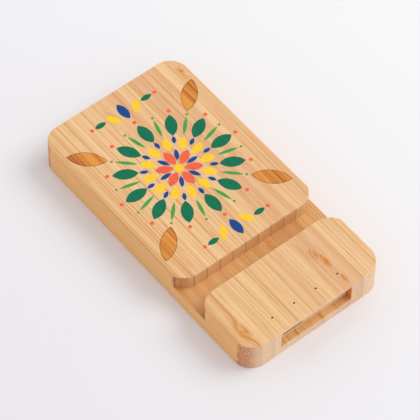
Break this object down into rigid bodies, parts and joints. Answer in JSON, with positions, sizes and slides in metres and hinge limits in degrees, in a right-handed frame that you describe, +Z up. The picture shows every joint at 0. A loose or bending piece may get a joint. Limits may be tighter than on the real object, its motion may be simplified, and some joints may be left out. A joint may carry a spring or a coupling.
{
  "type": "power bank phone stand",
  "caption": "Laminated bamboo power bank with a flared phone slot across its top, a recessed port end with check button and charge lights, and a screwed bottom cover.",
  "frame": {"origin": "Middle of the underside, on the table that the stand lies on.", "axes": "+Y runs along the length from the port end to the pad's far end, +Z is up off the table, +X is to the right seen from the port end."},
  "size_m": [0.0676, 0.13, 0.0142],
  "materials": {
    "bamboo": "laminated strips with a satin oil finish, paler and speckled on the end grain",
    "cover_bamboo": "laminated strips, sanded and oiled",
    "zinc_steel": "bright zinc plated, slight grain from forming",
    "pouch_foil": "satin laminated foil with a matt film",
    "green_laminate": "solder mask over glass laminate, semi matt",
    "black_laminate": "black solder mask over glass laminate, semi matt",
    "chip_plastic": "moulded epoxy, fine matt texture",
    "nickel": "bare nickel strip, lightly scuffed",
    "foam": "closed cell foam, matt",
    "tape": "white foam tape, matt",
    "red_insulation": "soft silicone, satin",
    "black_insulation": "soft silicone, satin",
    "tinned_steel": "tinned sheet steel, satin",
    "socket_plastic": "glass filled nylon, matt",
    "ferrite": "pressed ferrite, dull grey",
    "ceramic": "fired ceramic with tinned ends, satin",
    "led_resin": "clear resin over a white body, gloss",
    "cap_plastic": "moulded plastic in a bamboo tan, fine matt",
    "plunger_plastic": "moulded acetal, satin"
  },
  "bodies": {
    "housing": {"bamboo_body": "bamboo", "bottom_cover": "cover_bamboo", "cover_screw_front_left": "zinc_steel", "cover_screw_front_right": "zinc_steel", "cover_screw_middle_left": "zinc_steel", "cover_screw_middle_right": "zinc_steel", "cover_screw_rear_left": "zinc_steel", "cover_screw_rear_right": "zinc_steel", "battery_cell": "pouch_foil", "cell_protection_board": "green_laminate", "protection_chip_left": "chip_plastic", "protection_chip_right": "chip_plastic", "cell_tab_left": "nickel", "cell_tab_right": "nickel", "cell_foam_pad": "foam", "mounting_tape_left": "tape", "mounting_tape_right": "tape", "lead_red": "red_insulation", "lead_black": "black_insulation", "main_board": "black_laminate", "board_screw_left": "zinc_steel", "board_screw_right": "zinc_steel", "usb_c_shell": "tinned_steel", "usb_c_tongue": "socket_plastic", "micro_usb_shell": "tinned_steel", "micro_usb_tongue": "socket_plastic", "switch_housing": "socket_plastic", "power_inductor": "ferrite", "charge_controller": "chip_plastic", "capacitor_1": "ceramic", "capacitor_2": "ceramic", "capacitor_3": "ceramic", "capacitor_4": "ceramic", "capacitor_5": "ceramic", "capacitor_6": "ceramic", "resistor_1": "chip_plastic", "resistor_2": "chip_plastic", "resistor_3": "chip_plastic", "resistor_4": "chip_plastic", "charge_led_1": "led_resin", "charge_led_2": "led_resin", "charge_led_3": "led_resin", "charge_led_4": "led_resin"},
    "button": {"button_cap": "cap_plastic", "switch_plunger": "plunger_plastic"}
  },
  "joints": [
    {"name": "button_press", "type": "slide", "parent": "housing", "child": "button", "axis": [0, 1, 0], "range_m": [0, 0.0004], "stiffness_N_per_m": 3000}
  ]
}
